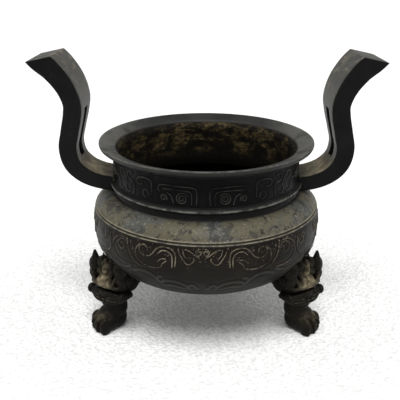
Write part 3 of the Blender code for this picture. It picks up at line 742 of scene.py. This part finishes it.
# %% Belly band
BELLY_TOP = BEAD_Z - 0.0016
BAND_THICKNESS = 0.0018
outer = belly_line(BELLY_TOP)
flat = [p for p in outer if p[0] < 0.048]
steep = [p for p in outer if p[0] >= 0.048]
outer = evenly(flat, 0.008)[:-1] + evenly([flat[-1]] + steep, 0.00068)
inner = belly_line(BELLY_TOP, BAND_THICKNESS, BAND_THICKNESS)[::-1]
mesh = mesh_from(turned(outer + evenly(inner, 0.010), 860), "bowl_belly_band")
raise_threads(mesh, skin_radius, BELLY_RADIUS, BELLY_TOP, 3, BELLY_THREADS, BELLY_LOW_SCROLLS)
store(mesh, "proud", proudness(mesh, 5))
belly_finish = band_bronze("bronze_belly_patina", (0.0055, 0.0050, 0.0040), (0.0115, 0.0106, 0.0086),
                           (0.050, 0.046, 0.036), (0.011, 0.007, 0.005), (0.29, 0.255, 0.18), 0.09)
link_piece("bowl_belly_band", mesh, belly_finish, "bowl")

# %% Neck band
neck_low, neck_high = NECK_Z - 0.0001, NECK_TOP_Z + 0.0003
ring = evenly([(NECK_RADIUS, neck_low), (NECK_RADIUS, neck_high)], 0.00042)
ring += [(NECK_RADIUS - BAND_THICKNESS, neck_high), (NECK_RADIUS - BAND_THICKNESS, neck_low)]
mesh = mesh_from(turned(ring, 960, closed=True), "bowl_neck_band")
raise_threads(mesh, lambda z: np.full(len(z), NECK_RADIUS), NECK_RADIUS, NECK_TOP_Z, 2, NECK_THREADS)
store(mesh, "proud", proudness(mesh, 5))
neck_finish = band_bronze("bronze_neck_patina", (0.0035, 0.0035, 0.0040), (0.0075, 0.0075, 0.0080),
                          (0.028, 0.028, 0.027), (0.003, 0.003, 0.003), (0.085, 0.085, 0.078), 0.05)
link_piece("bowl_neck_band", mesh, neck_finish, "bowl")

# %% [markdown]
# Each handle is a flat bar, bent in an upright S: it leaves the neck under the lip, turns up, leans in
# over the rim, and curls out at its top. A slot runs through its lower half. The bar is built as rings of
# eight points, so that the slot's sides are edges from the start, and its long edges are then bevelled.

# %% Handles
HANDLE_REACH = 0.1164
HANDLE_STEM_RADIUS = 0.0949
HANDLE_WAIST_RADIUS = 0.0888
HANDLE_RISE = 0.0877
HANDLE_ROOT_Z = NECK_Z - 0.0017
HANDLE_TOP_Z = HANDLE_ROOT_Z + HANDLE_RISE
HANDLE_TOP_LENGTH = 0.0165
BAR_THICKNESS = 0.0102
BAR_HALF_WIDTH = 0.0143
TIP_Z = HANDLE_TOP_Z - 0.0036
SLOT_WIDTH = 0.0096
SLOT_BOTTOM_Z = HANDLE_ROOT_Z + 0.0140
SLOT_TOP_Z = HANDLE_ROOT_Z + 0.0515


def eased(share):
    share = min(1.0, max(0.0, share))
    return share * share * (3 - 2 * share)


def handle_line():
    stem, waist = HANDLE_STEM_RADIUS, HANDLE_WAIST_RADIUS
    elbow = stem - NECK_RADIUS
    path = [
        (NECK_RADIUS - WALL, -0.009),
        (NECK_RADIUS + 0.29 * elbow, 0.011),
        (NECK_RADIUS + 0.66 * elbow, 0.063),
        (stem - 0.08 * elbow, 0.154),
        (stem, 0.279),
        (stem - 0.36 * (stem - waist), 0.405),
        (waist + 0.16 * (stem - waist), 0.547),
        (waist + 0.05 * (stem - waist), 0.650),
        (waist + 0.145 * (HANDLE_REACH - waist), 0.775),
        (waist + 0.400 * (HANDLE_REACH - waist), 0.889),
        (HANDLE_REACH - 0.00825, 0.977),
        (HANDLE_REACH - 0.0010, 1.078),
    ]
    return flowing([(out, HANDLE_ROOT_Z + share * HANDLE_RISE) for out, share in path], 8)


def cut_off(bm, place, outwards):
    """Cuts away what lies outwards of a plane and closes the cut."""
    bmesh.ops.bisect_plane(bm, geom=bm.verts[:] + bm.edges[:] + bm.faces[:], plane_co=place,
                           plane_no=outwards, clear_outer=True)
    bmesh.ops.holes_fill(bm, edges=[e for e in bm.edges if e.is_boundary])


def handle_mesh(side):
    line = handle_line()
    last = len(line) - 1
    bm = bmesh.new()
    rings = []
    for i, point in enumerate(line):
        before, after = line[max(i - 1, 0)], line[min(i + 1, last)]
        along = Vector((after[0] - before[0], after[1] - before[1])).normalized()
        share = i / last
        thick = BAR_THICKNESS + 0.0020 * eased(share / 0.35) + 0.0028 * eased((share - 0.6) / 0.4)
        half = BAR_HALF_WIDTH + 0.0062 * eased((point[1] - SLOT_BOTTOM_Z) / (HANDLE_TOP_Z - SLOT_BOTTOM_Z))
        aside = Vector((along.y, -along.x)) * thick / 2
        outer, inner = Vector(point) + aside, Vector(point) - aside
        places = [-half, -SLOT_WIDTH / 2, SLOT_WIDTH / 2, half]
        ring = [bm.verts.new((outer.x, y, outer.y)) for y in places]
        ring += [bm.verts.new((inner.x, y, inner.y)) for y in reversed(places)]
        rings.append(ring)
    pierced = [SLOT_BOTTOM_Z < (a[1] + b[1]) / 2 < SLOT_TOP_Z for a, b in zip(line, line[1:])]
    for below, above, open_here in zip(rings, rings[1:], pierced):
        for k in range(8):
            if open_here and k in (1, 5):
                continue
            bm.faces.new((below[k], below[(k + 1) % 8], above[(k + 1) % 8], above[k]))
    first, final = pierced.index(True), len(pierced) - 1 - pierced[::-1].index(True)
    for i in range(first, final + 1):
        for a, b in ((1, 6), (2, 5)):
            bm.faces.new((rings[i][a], rings[i][b], rings[i + 1][b], rings[i + 1][a]))
    for i in (first, final + 1):
        bm.faces.new((rings[i][1], rings[i][2], rings[i][5], rings[i][6]))
    for k in range(3):
        bm.faces.new((rings[0][k], rings[0][k + 1], rings[0][6 - k], rings[0][7 - k]))
    cut_off(bm, (HANDLE_REACH, 0, TIP_Z), (HANDLE_TOP_Z - TIP_Z, 0, HANDLE_TOP_LENGTH))
    if side < 0:
        bmesh.ops.rotate(bm, verts=bm.verts, matrix=Matrix.Rotation(math.pi, 3, "Z"))
    bmesh.ops.recalc_face_normals(bm, faces=bm.faces)
    sharp = [e for e in bm.edges if len(e.link_faces) == 2 and e.calc_face_angle() > math.radians(50)]
    bmesh.ops.bevel(bm, geom=sharp, offset=0.0009, offset_type="OFFSET", affect="EDGES", segments=3,
                    profile=0.5, material=-1, clamp_overlap=True)
    long_edges = [e for e in bm.edges if e.calc_length() > 0.006]
    bmesh.ops.subdivide_edges(bm, edges=long_edges, cuts=3, use_grid_fill=True)
    return bm


def handle_bronze():
    finish = Finish("bronze_handle_patina_and_painted_light")
    proud = finish.painted("proud")
    colour = bronze_layers(finish, (0.0045, 0.0045, 0.0048), (0.008, 0.008, 0.008), (0.020, 0.019, 0.017))
    # Faces that look up or inward are painted light grey: partly worn grey, partly painted light falling
    # from above.
    worn_lit_face = finish.painted("worn_lit_inner_face")
    worn_grey_lit = finish.mix(finish.noise(0.006, 5.0, 0.7).step(0.40, 0.66), (0.056, 0.056, 0.052),
                        (0.105, 0.102, 0.088))
    streaks = finish.noise(0.008, 5.0, 0.7, 0.6).step(0.54, 0.64) * finish.axis("Z").step(0.150, 0.172)
    worn_grey_lit = finish.mix(streaks * 0.7, worn_grey_lit, (0.24, 0.205, 0.14))
    colour = finish.mix(worn_lit_face * 0.8, colour, worn_grey_lit)
    # The roots' tan patina shows only on faces that look up or inward, so it carries the same painted
    # light.
    root = finish.painted("root")
    tan = finish.mix(finish.noise(0.007, 4.0, 0.6).step(0.38, 0.66), (0.120, 0.104, 0.066),
                     (0.25, 0.215, 0.14))
    colour = finish.mix(root * 0.85, colour, tan)
    # Edges that stand proud are a little lighter: wear, and a painted highlight.
    rubbed_and_highlit = proud.step(0.00004, 0.00020) * finish.noise(0.010, 4.0).step(0.40, 0.6)
    colour = finish.mix(rubbed_and_highlit * 0.12, colour, (0.13, 0.125, 0.11))
    cast_grain(finish, 0.30, 0.22)
    roughness = finish.noise(0.006, 3.0).step(0.2, 0.8) * 0.14 + 0.38
    return finish.surface(colour, roughness, 0.10, 0.07)


handle_finish = handle_bronze()
for name, side in (("handle_left", -1), ("handle_right", 1)):
    mesh = mesh_from(handle_mesh(side), name)
    points = points_of(mesh)
    root_reach = np.sqrt((NECK_RADIUS + SEAT_CLEARANCE) ** 2 - np.minimum(np.abs(points[:, 1]), 0.02) ** 2)
    behind = np.abs(points[:, 0]) < root_reach
    points[behind, 0] = side * root_reach[behind]
    set_points(mesh, points)
    normal = normals_of(mesh)
    # Faces that look up or inward carry painted light on the handle: the worn grey higher up, the tan at
    # the roots.
    up_or_in = np.maximum(normal[:, 2], -side * normal[:, 0])
    lit_facing = soft_step(up_or_in, 0.45, 0.75) * (np.abs(normal[:, 1]) < 0.5)
    store(mesh, "worn_lit_inner_face", lit_facing * soft_step(points[:, 2], 0.108, 0.122))
    store(mesh, "root", lit_facing * soft_step(points[:, 2], 0.124, 0.110))
    store(mesh, "proud", proudness(mesh, 2))
    link_piece(name + "_bar", mesh, handle_finish, name, sharp=40)

# %% [markdown]
# Each leg is a small sculpture: a lion mask that bites on the shin, over a paw. Its forms are laid as
# overlapping eggs, cones and cords, as a modeller lays pellets of wax, and a voxel remesh fuses them
# into one skin. Grooves are then cut into that skin along drawn lines. The units are the leg's own: its
# whole height is 62. Every point is given forwards, aside and up.

# %% Wax pellets for the legs
LEG_HEIGHT = BOWL_FLOOR_Z + 0.0308
LEG_UNIT = LEG_HEIGHT / 62
LIP_SQUARENESS = 0.56
LIP_BACK = 5.0
TOES = ((-7.4, 7.8), (-2.6, 9.9), (2.6, 9.9), (7.4, 7.8))
ANKLE_RING_RADIUS = BELLY_RADIUS - 0.0035
SOLE_CUT = 0.0006
LEG_PLACES = {"leg_front_left": (210.0, 26.0), "leg_front_right": (330.0, -26.0), "leg_back": (90.0, 0.0)}


def egg(bm, centre, radii, turn=0.0, tilt=0.0, lean=0.0, fine=3):
    """A pellet of given half sizes: forwards, aside, up. Turns are in degrees."""
    made = bmesh.ops.create_icosphere(bm, subdivisions=fine, radius=1.0)
    place = (Matrix.Translation(centre) @ Matrix.Rotation(math.radians(turn), 4, "Z")
             @ Matrix.Rotation(math.radians(tilt), 4, "Y") @ Matrix.Rotation(math.radians(lean), 4, "X")
             @ Matrix.Diagonal((*radii, 1.0)))
    bmesh.ops.transform(bm, matrix=place, verts=made["verts"])


def cord(bm, points, thick, thin=None):
    """A rounded cord along a smooth line, which may thin towards its end."""
    line = flowing(points, 6, Vector)
    thin = thick if thin is None else thin
    for i, point in enumerate(line):
        size = thick + (thin - thick) * i / (len(line) - 1)
        egg(bm, point, (size, size, size), fine=2)


def spike(bm, base, tip, thick):
    base, tip = Vector(base), Vector(tip)
    along = tip - base
    made = bmesh.ops.create_cone(bm, cap_ends=True, segments=20, radius1=thick, radius2=thick * 0.2,
                                 depth=along.length)
    turn = along.to_track_quat("Z", "Y").to_matrix().to_4x4()
    bmesh.ops.transform(bm, matrix=Matrix.Translation((base + tip) / 2) @ turn, verts=made["verts"])


def lip_ring(bm, front, half_width, front_z, corner_z, thick):
    """Pellets round a squarish mouth, from one corner over the front to the other."""
    for angle in np.radians(np.linspace(-90, 90, 35)):
        out = math.cos(angle) ** LIP_SQUARENESS
        aside = math.copysign(abs(math.sin(angle)) ** LIP_SQUARENESS, angle)
        climb = (corner_z - front_z) * abs(aside) ** 3
        place = (out * (front - thick + LIP_BACK) - LIP_BACK, aside * (half_width - thick), front_z + climb)
        egg(bm, place, (thick,) * 3, fine=2)


def block(bm, corners):
    """The hull of some corners and their mirror images."""
    made = [bm.verts.new((out, side * aside, up)) for out, aside, up in corners
            for side in ((1, -1) if aside else (1,))]
    hull = bmesh.ops.convex_hull(bm, input=made)
    bmesh.ops.delete(bm, geom=hull["geom_interior"], context="VERTS")


def wax_paw(bm):
    egg(bm, (-3.4, 0, 9.0), (8.4, 8.6, 9.6))
    egg(bm, (3.6, 0, 7.8), (9.6, 9.8, 9.2))
    egg(bm, (1.2, 0, 12.4), (9.6, 8.8, 7.4), tilt=14)
    for aside, out in TOES:
        egg(bm, (out, aside, 6.2), (5.2, 3.4, 7.2), turn=aside * 3)
    egg(bm, (-3.6, 0, 18.0), (9.0, 9.2, 12.0))


def wax_jaw(bm):
    egg(bm, (-3.6, 0, 22.6), (9.6, 10.2, 6.4))
    egg(bm, (-4.6, 0, 26.6), (10.6, 12.4, 6.2))
    egg(bm, (-4.0, 0, 30.6), (10.8, 15.0, 6.0))
    rings = [(25.8, 8.4, 15.4, 2.6), (28.0, 8.9, 17.0, 1.6),
             (30.2, 8.5, 17.2, 0.0), (32.4, 7.6, 16.2, -2.0)]
    for up, front, half_width, climb in rings:
        lip_ring(bm, front, half_width, up, up + climb, 2.1)
    egg(bm, (4.4, 0, 32.2), (4.6, 5.2, 2.7))
    for aside in (-1, 1):
        egg(bm, (3.6, aside * 14.6, 30.8), (4.0, 2.8, 3.8), lean=-aside * 14)


def wax_muzzle(bm):
    egg(bm, (-4.6, 0, 41.0), (9.4, 12.6, 4.6))
    lip_ring(bm, 7.2, 13.6, 38.6, 35.6, 1.8)
    block(bm, [(7.6, 7.0, 37.6), (8.7, 3.0, 37.9), (8.0, 7.6, 40.2), (8.9, 3.4, 40.4), (6.2, 4.4, 45.6),
               (6.4, 0, 46.6), (-2.0, 9.0, 38.0), (-2.0, 5.0, 46.4)])
    for aside in (-1, 1):
        egg(bm, (1.0, aside * 12.6, 44.0), (4.6, 4.4, 6.0))
        egg(bm, (-6.0, aside * 11.2, 41.6), (6.0, 3.6, 5.2))
        wing = [(7.0, 7.6, 39.0), (6.2, 9.6, 43.6), (4.6, 12.0, 48.2), (2.8, 14.4, 43.8), (1.0, 15.4, 39.4)]
        cord(bm, [(out, aside * reach, up) for out, reach, up in wing], 1.2)
        cord(bm, [(7.0, aside * 8.0, 38.9), (5.0, aside * 12.0, 38.6), (1.0, aside * 14.8, 38.8)], 1.1)


def wax_brow(bm):
    egg(bm, (-6.0, 0, 49.6), (9.2, 11.2, 10.6))
    egg(bm, (3.0, 0, 50.6), (3.4, 2.7, 8.6), tilt=-3)
    for aside in (-1, 1):
        egg(bm, (1.2, aside * 12.0, 51.0), (4.4, 5.0, 7.0), lean=aside * 8)
        spike(bm, (1.8, aside * 11.2, 52.0), (2.0, aside * 11.0, 62.6), 4.3)
        egg(bm, (2.0, aside * 5.0, 54.4), (3.2, 2.5, 5.0))
        egg(bm, (-2.2, aside * 3.6, 59.0), (3.4, 2.6, 3.2))
        egg(bm, (3.4, aside * 5.6, 48.0), (2.6, 2.4, 2.8))


def wax_mane(bm):
    egg(bm, (-14.0, 0, 35.4), (14.0, 10.8, 8.2), tilt=-6)
    for aside in (-1, 1):
        egg(bm, (-12.0, aside * 8.6, 34.2), (9.0, 4.6, 6.6), turn=-aside * 8)
        egg(bm, (-19.5, aside * 6.8, 34.0), (7.6, 4.0, 5.4), turn=-aside * 8)
        lock = [(-5.0, 13.6, 44.0), (-9.0, 13.0, 41.6), (-13.0, 12.6, 40.2), (-17.4, 11.4, 41.0)]
        cord(bm, [(out, aside * reach, up) for out, reach, up in lock], 1.2, 0.8)


# %% [markdown]
# The grooves are drawn as lines in space beside the skin. A point of the skin sinks by how near it lies
# to a line, so one list of lines can carry toe clefts, lip lines, brow hairs and nostrils.

# %% Grooves of the legs


def both_sides(lines):
    return lines + [[(out, -aside, up) for out, aside, up in line] for line in lines]


def lip_line(front, half_width, up, climb, sunk=0.4):
    """A line round the mouth that lies just in the skin of a lip of the same size."""
    line = []
    for angle in np.radians((0, 18, 36, 54, 70, 84)):
        out, aside = math.cos(angle) ** LIP_SQUARENESS, math.sin(angle) ** LIP_SQUARENESS
        line.append((out * (front - sunk + LIP_BACK) - LIP_BACK, aside * (half_width - sunk),
                     up + climb * aside ** 3))
    return line


PAW_GROOVES = [
    [(14.9, 0.0, 0.4), (15.2, 0.0, 4.8), (13.4, 0.0, 9.6), (10.6, 0.0, 12.8)],
] + both_sides([[(13.0, 5.1, 0.4), (13.6, 5.1, 4.8), (11.8, 5.0, 9.6), (9.0, 4.8, 12.8)]])
TOE_CREASES = [[(out + 4.6, aside * 1.02 - 2.0, 5.2), (out + 5.2, aside * 1.05, 5.6),
                (out + 4.6, aside * 1.08 + 2.0, 5.2)] for aside, out in TOES]
MASK_GROOVES = both_sides([
    lip_line(8.2, 15.4, 35.8, -3.2, 0.0),
    lip_line(8.9, 17.0, 28.9, 1.2),
    lip_line(8.7, 16.2, 26.9, 2.0),
    [(8.2, 0.0, 29.4), (8.0, 3.6, 30.2), (7.8, 5.2, 32.2), (7.4, 5.2, 34.4)],
    [(6.4, 4.0, 47.0), (6.0, 3.4, 51.0), (5.0, 3.2, 56.0)],
    [(5.2, 6.8, 44.6), (6.4, 7.6, 49.0), (5.0, 7.0, 54.0)],
    [(7.4, 7.8, 40.4), (6.4, 6.6, 44.2), (5.6, 5.4, 46.8)],
])
NOSTRILS = both_sides([[(5.8, 10.8, 42.8), (5.0, 12.2, 42.0), (4.0, 13.2, 41.6)]])
BRIDGE_DOTS = both_sides([[(6.6, 2.7, 49.8), (6.6, 2.7, 50.4)]])


def cut_grooves(points, normals, lines, depth, width):
    """Sinks the points near each line. Everything is in the leg's own units."""
    sink = np.zeros(len(points))
    for line in lines:
        smooth = np.array(flowing(line, 8, Vector))
        low, high = smooth.min(0) - 4 * width, smooth.max(0) + 4 * width
        near = np.nonzero(((points > low) & (points < high)).all(1))[0]
        if not len(near):
            continue
        gap = np.linalg.norm(points[near, None, :] - smooth[None], axis=2).min(1)
        sink[near] = np.maximum(sink[near], depth * np.exp(-(gap / width) ** 2))
    return points - normals * sink[:, None]


def fused(bm, voxel):
    """One skin round all the pellets, slightly softened."""
    wax = add_object("wax", mesh_from(bm, "wax"))
    remesh = wax.modifiers.new("fuse", "REMESH")
    remesh.mode = "VOXEL"
    remesh.voxel_size = voxel
    soften = wax.modifiers.new("soften", "SMOOTH")
    soften.factor = 0.5
    soften.iterations = 4
    skin = bpy.data.meshes.new_from_object(wax.evaluated_get(bpy.context.evaluated_depsgraph_get()))
    bpy.data.objects.remove(wax)
    return skin


# %% [markdown]
# A leg is soldered to the bowl, so its back is cut to the bowl's own curve with a hair's breadth of
# clearance, and its sole is cut flat on the floor. Both cuts come after the carving, so their edges stay
# crisp.

# %% Seat and sole


def seat_form():
    """The bowl's outer form, grown by the clearance."""
    grown = []
    for r, z in evenly(belly_line(BEAD_Z + 0.004), 0.0022):
        outwards = SEAT_CLEARANCE * min(1.0, (z - BOWL_FLOOR_Z) / 0.02)
        grown.append((max(0.0, r + outwards), z - SEAT_CLEARANCE * (z < BELLY_Z)))
    grown[0] = (0.0, grown[0][1])
    grown.append((0.0, grown[-1][1]))
    return add_object("seat_form", mesh_from(turned(grown, 180), "seat_form"))


def cut_by(mesh, form):
    held = add_object("held", mesh)
    cut = held.modifiers.new("seat", "BOOLEAN")
    cut.operation = "DIFFERENCE"
    cut.solver = "EXACT"
    cut.object = form
    result = bpy.data.meshes.new_from_object(held.evaluated_get(bpy.context.evaluated_depsgraph_get()))
    bpy.data.objects.remove(held)
    return result


def flat_sole(mesh):
    """Cuts everything under the floor and keeps only the largest body."""
    bm = bmesh.new()
    bm.from_mesh(mesh)
    cut_off(bm, (0, 0, 0), (0, 0, -1))
    left = set(bm.verts)
    bodies = []
    while left:
        stack = [left.pop()]
        found = set(stack)
        while stack:
            for edge in stack.pop().link_edges:
                for vert in edge.verts:
                    if vert not in found:
                        found.add(vert)
                        stack.append(vert)
        left -= found
        bodies.append(found)
    bodies.sort(key=len)
    for body in bodies[:-1]:
        bmesh.ops.delete(bm, geom=list(body), context="VERTS")
    bmesh.ops.triangulate(bm, faces=[f for f in bm.faces if len(f.verts) > 4])
    bm.to_mesh(mesh)
    bm.free()


def leg_bronze():
    finish = Finish("bronze_leg_patina_and_painted_light")
    proud = finish.painted("proud")
    worn = finish.painted("worn")
    colour = bronze_layers(finish, (0.0045, 0.0042, 0.0036), (0.009, 0.008, 0.006), (0.032, 0.027, 0.018))
    # Edges and ridges that stand proud are lighter: wear, and a painted highlight.
    rubbed_and_highlit = proud.step(0.00006, 0.00026) * finish.noise(0.008, 4.0).step(0.32, 0.55)
    colour = finish.mix(rubbed_and_highlit * 0.5, colour, (0.115, 0.098, 0.066))
    cloud = finish.noise(0.006, 5.0, 0.7).step(0.30, 0.62)
    tan = finish.mix(finish.noise(0.0030, 4.0, 0.7).step(0.4, 0.65), (0.125, 0.101, 0.058),
                     (0.255, 0.214, 0.14))
    colour = finish.mix(worn * cloud, colour, tan)
    colour = finish.mix(proud.step(-0.00006, -0.00030) * 0.75, colour, (0.009, 0.008, 0.006))
    cast_grain(finish, 0.34, 0.30)
    roughness = finish.noise(0.005, 3.0).step(0.2, 0.8) * 0.15 + 0.40 + worn * 0.12
    return finish.surface(colour, roughness, 0.12, 0.07)


# %% Cast the three legs
leg_finish = leg_bronze()
form = seat_form()
VOXEL = 0.00045
WORN_ON_MASK = [(1.1, (8.5, 0.0, 41.6), (4.0, 8.4, 4.6)), (0.9, (6.4, 0.0, 50.0), (3.4, 3.2, 7.0))]


def spot(points, centre, size):
    """1 at a place and 0 further off than about twice its size."""
    gap = (points - np.array(centre)) / np.array(size)
    return np.exp(-(gap ** 2).sum(1))


for name, (round_bowl, turn) in LEG_PLACES.items():
    turn_back = Matrix.Rotation(math.radians(-turn), 3, "Z")
    bm = bmesh.new()
    wax_paw(bm)
    bmesh.ops.rotate(bm, verts=bm.verts, matrix=turn_back)
    for lay in (wax_jaw, wax_muzzle, wax_brow, wax_mane):
        lay(bm)
    bmesh.ops.scale(bm, verts=bm.verts, vec=(LEG_UNIT,) * 3)
    mesh = fused(bm, VOXEL)
    paw_grooves, toe_creases = ([[tuple(turn_back @ Vector(p)) for p in line] for line in lines]
                                for lines in (PAW_GROOVES, TOE_CREASES))
    points = points_of(mesh) / LEG_UNIT
    normal = normals_of(mesh)
    points = cut_grooves(points, normal, paw_grooves, 1.3, 0.8)
    points = cut_grooves(points, normal, toe_creases, 0.8, 0.6)
    points = cut_grooves(points, normal, MASK_GROOVES, 1.15, 0.6)
    points = cut_grooves(points, normal, NOSTRILS + BRIDGE_DOTS, 1.9, 0.9)
    set_points(mesh, points * LEG_UNIT)
    angle = math.radians(round_bowl)
    ankle = (ANKLE_RING_RADIUS * math.cos(angle), ANKLE_RING_RADIUS * math.sin(angle), -SOLE_CUT)
    place = Matrix.Translation(ankle) @ Matrix.Rotation(angle + math.radians(turn), 4, "Z")
    mesh.transform(place)
    mesh = cut_by(mesh, form)
    flat_sole(mesh)
    local = points_of(mesh) @ np.array(place.inverted().to_3x3()).T + np.array(place.inverted().translation)
    local /= LEG_UNIT
    paw = local @ np.array(turn_back.inverted()).T
    worn = sum(strength * spot(local, centre, size) for strength, centre, size in WORN_ON_MASK)
    worn += 0.30 * spot(paw, (9.0, 0.0, 13.0), (6.0, 9.0, 3.6))
    store(mesh, "worn", np.clip(worn, 0, 1))
    store(mesh, "proud", proudness(mesh, 6))
    link_piece(name + "_cast", mesh, leg_finish, name)
bpy.data.objects.remove(form)
